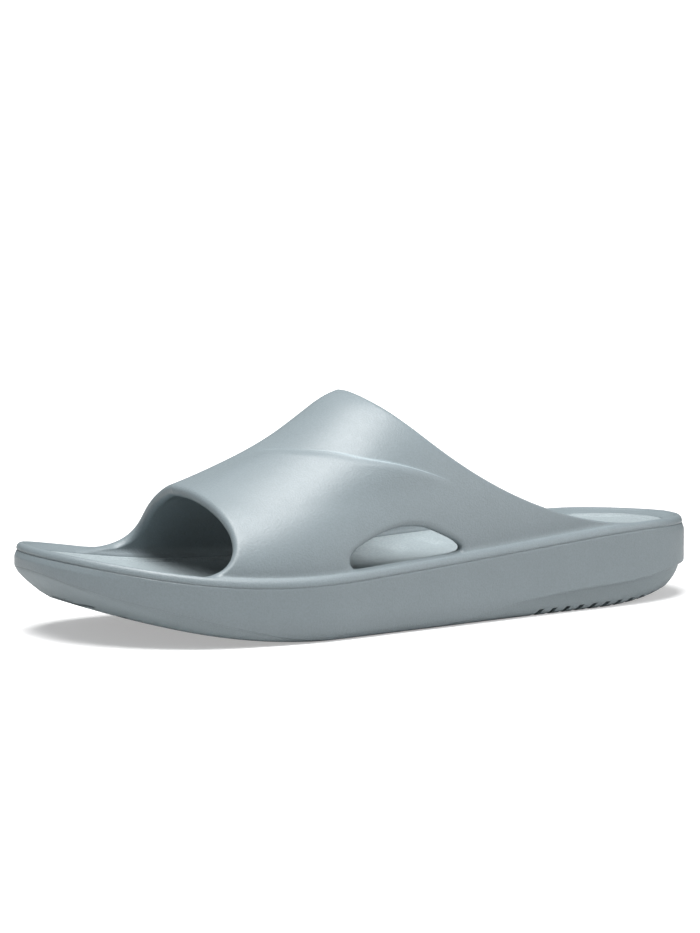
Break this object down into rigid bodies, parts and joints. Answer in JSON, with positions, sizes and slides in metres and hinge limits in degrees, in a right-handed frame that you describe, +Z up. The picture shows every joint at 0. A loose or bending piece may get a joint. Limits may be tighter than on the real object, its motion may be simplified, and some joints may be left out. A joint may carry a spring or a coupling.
{
  "type": "slide sandal",
  "caption": "Left slide sandal in moulded foam: one broad strap, open at toe and instep, with an almond cut-out in its outer side, over a dished footbed and a grooved outsole.",
  "frame": {"origin": "on the floor, under the middle of the sandal's length and width", "axes": "+Z up; the toe points to -X, the heel to +X; -Y is the outer side of the left foot, +Y the inner side"},
  "size_m": [0.296, 0.1092, 0.0931],
  "materials": {
    "body_foam": "matt moulded foam, very fine grain",
    "footbed_foam": "matt foam inlay, fine texture",
    "outsole_rubber": "matt foam rubber"
  },
  "bodies": {
    "root": {"upper_and_midsole": "body_foam", "footbed": "footbed_foam", "outsole": "outsole_rubber"}
  },
  "joints": []
}
